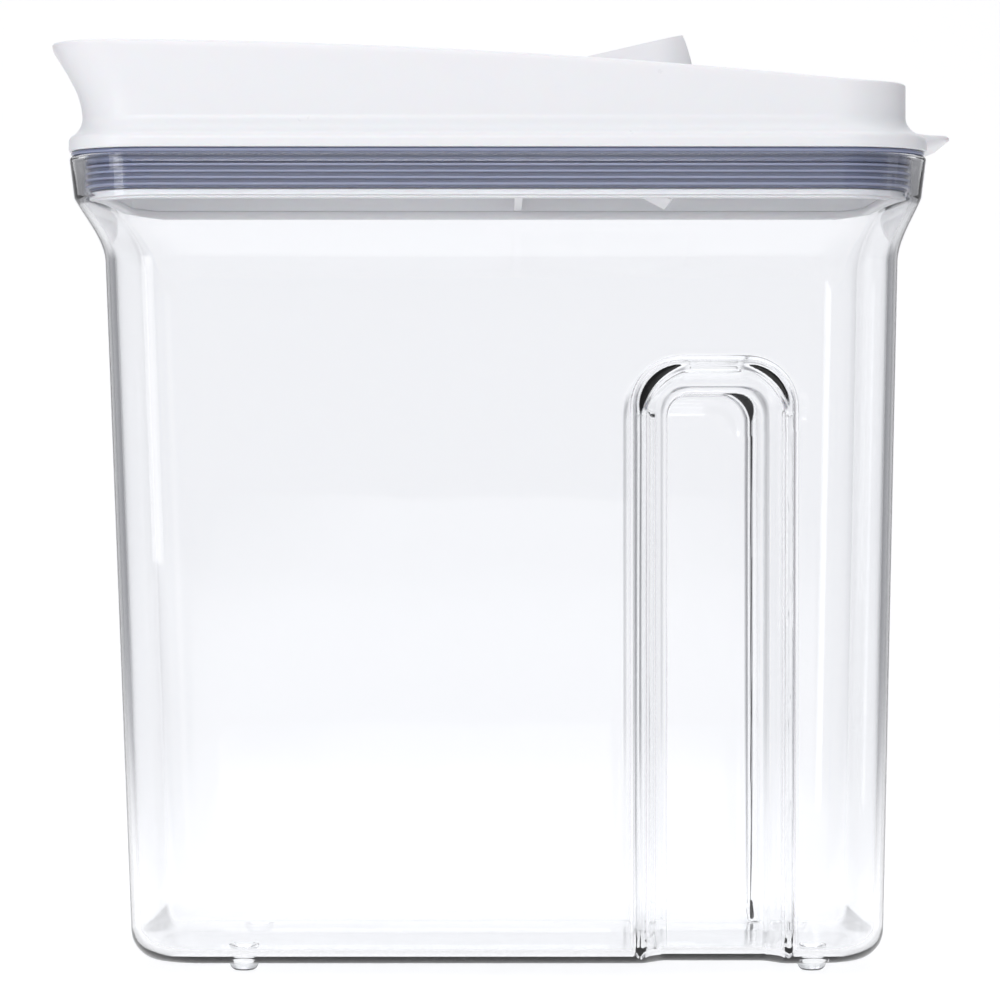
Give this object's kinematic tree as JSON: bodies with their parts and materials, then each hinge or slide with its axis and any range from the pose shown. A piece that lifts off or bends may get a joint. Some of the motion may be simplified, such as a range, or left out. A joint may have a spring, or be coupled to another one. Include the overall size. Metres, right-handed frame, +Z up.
{
  "type": "cereal container with flip spout",
  "caption": "Clear oblong dry-food container with a white lid that lifts off on a ribbed seal and a rocker flap, worked by a thumb tab, over the pouring spout.",
  "frame": {"origin": "centre of the bounding box, on the plane that the feet stand on", "axes": "+X from the pouring spout to the pull tab, +Y across the container, +Z up"},
  "size_m": [0.2309, 0.128, 0.2393],
  "materials": {
    "clear_plastic": "clear moulded plastic, glossy",
    "white_plastic": "glossy",
    "slate_silicone": "satin silicone",
    "pin_steel": "bright drawn wire"
  },
  "bodies": {
    "body": {"container": "clear_plastic"},
    "lid": {"lid_shell": "white_plastic", "lid_frame": "white_plastic", "gasket_retainer": "white_plastic", "neck_gasket": "slate_silicone", "hinge_pin_near": "pin_steel", "hinge_pin_far": "pin_steel"},
    "flap": {"flap_cover": "white_plastic", "flap_plug": "white_plastic", "spout_gasket": "slate_silicone"}
  },
  "joints": [
    {"name": "lid_lift", "type": "slide", "parent": "body", "child": "lid", "axis": [0, 0, 1], "range_m": [0, 0.05]},
    {"name": "flap_hinge", "type": "hinge", "parent": "lid", "child": "flap", "pos_m": [0.01165, 0, 0.223], "axis": [0, 1, 0], "range_deg": [0, 50]}
  ]
}
